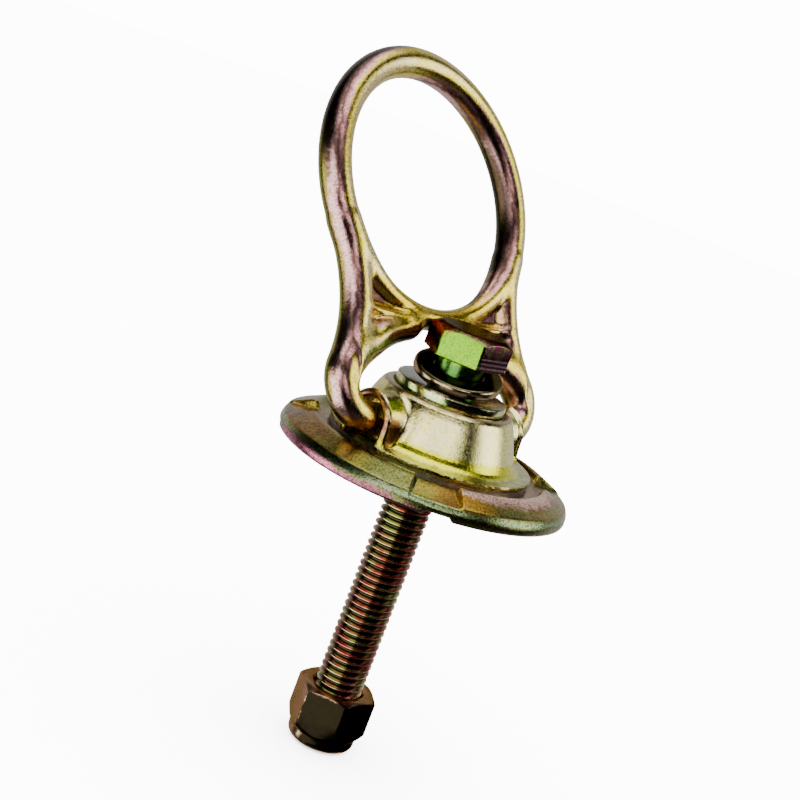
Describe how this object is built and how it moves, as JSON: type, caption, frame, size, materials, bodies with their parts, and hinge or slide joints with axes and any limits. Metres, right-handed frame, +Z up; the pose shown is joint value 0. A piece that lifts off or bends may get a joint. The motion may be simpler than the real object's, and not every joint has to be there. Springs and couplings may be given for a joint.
{
  "type": "swivel hoist ring",
  "caption": "Swivel hoist ring: round foot with arc pads, housing that turns on a flanged bushing, forged pivoting bail, hex bolt, loose washer and lock nut.",
  "frame": {"origin": "centre of the foot's underside, on the bolt's axis", "axes": "+Z up along the bolt towards its head, +X along the bail's pins, the bail leans towards +Y"},
  "size_m": [0.0762, 0.09, 0.1754],
  "materials": {
    "foot_zinc": "yellow zinc dichromate, iridescent, satin",
    "bushing_zinc": "yellow zinc dichromate, turned, bright",
    "housing_zinc": "yellow zinc dichromate, iridescent, satin",
    "bail_zinc": "yellow zinc dichromate on a forged surface",
    "washer_zinc": "yellow zinc dichromate, bright",
    "bolt_zinc": "yellow zinc dichromate, green and pink tints",
    "nut_zinc": "yellow zinc dichromate, dark",
    "spring_steel": "dark oiled steel",
    "bearing_steel": "ground steel",
    "nylon": "natural nylon"
  },
  "bodies": {
    "foot": {"base_plate": "foot_zinc", "bushing": "bushing_zinc", "retaining_ring": "spring_steel", "lower_thrust_washer": "bearing_steel"},
    "swivel": {"swivel_housing": "housing_zinc", "upper_thrust_washer": "bearing_steel"},
    "bail": {"bail": "bail_zinc"},
    "bolt": {"bolt": "bolt_zinc"},
    "washer": {"head_washer": "washer_zinc"},
    "nut_carrier": {"nylon_insert": "nylon"},
    "nut": {"nut_shell": "nut_zinc"}
  },
  "joints": [
    {"name": "swivel", "type": "hinge", "parent": "foot", "child": "swivel", "pos_m": [0, 0, 0.006], "axis": [0, 0, 1], "continuous": true},
    {"name": "bail_pivot", "type": "hinge", "parent": "swivel", "child": "bail", "pos_m": [0, 0, 0.012], "axis": [-1, 0, 0], "range_deg": [0, 58]},
    {"name": "bolt_lift", "type": "slide", "parent": "foot", "child": "bolt", "axis": [0, 0, 1], "range_m": [-0.0047, 0]},
    {"name": "washer_tilt", "type": "hinge", "parent": "foot", "child": "washer", "pos_m": [-0.00827, -0.00601, 0.02255], "axis": [-0.5878, 0.809, 0], "range_deg": [0, 13.3]},
    {"name": "nut_travel", "type": "slide", "parent": "bolt", "child": "nut_carrier", "axis": [0, 0, 1], "range_m": [0, 0.06]},
    {"name": "nut_turn", "type": "hinge", "parent": "nut_carrier", "child": "nut", "pos_m": [0, 0, -0.07], "axis": [0, 0, 1], "range_deg": [0, 11056]}
  ],
  "couplings": [
    {"joint": "washer_tilt", "follows": "bolt_lift", "rad_per_m": -49.018},
    {"joint": "nut_turn", "follows": "nut_travel", "rad_per_m": 3215.9}
  ]
}
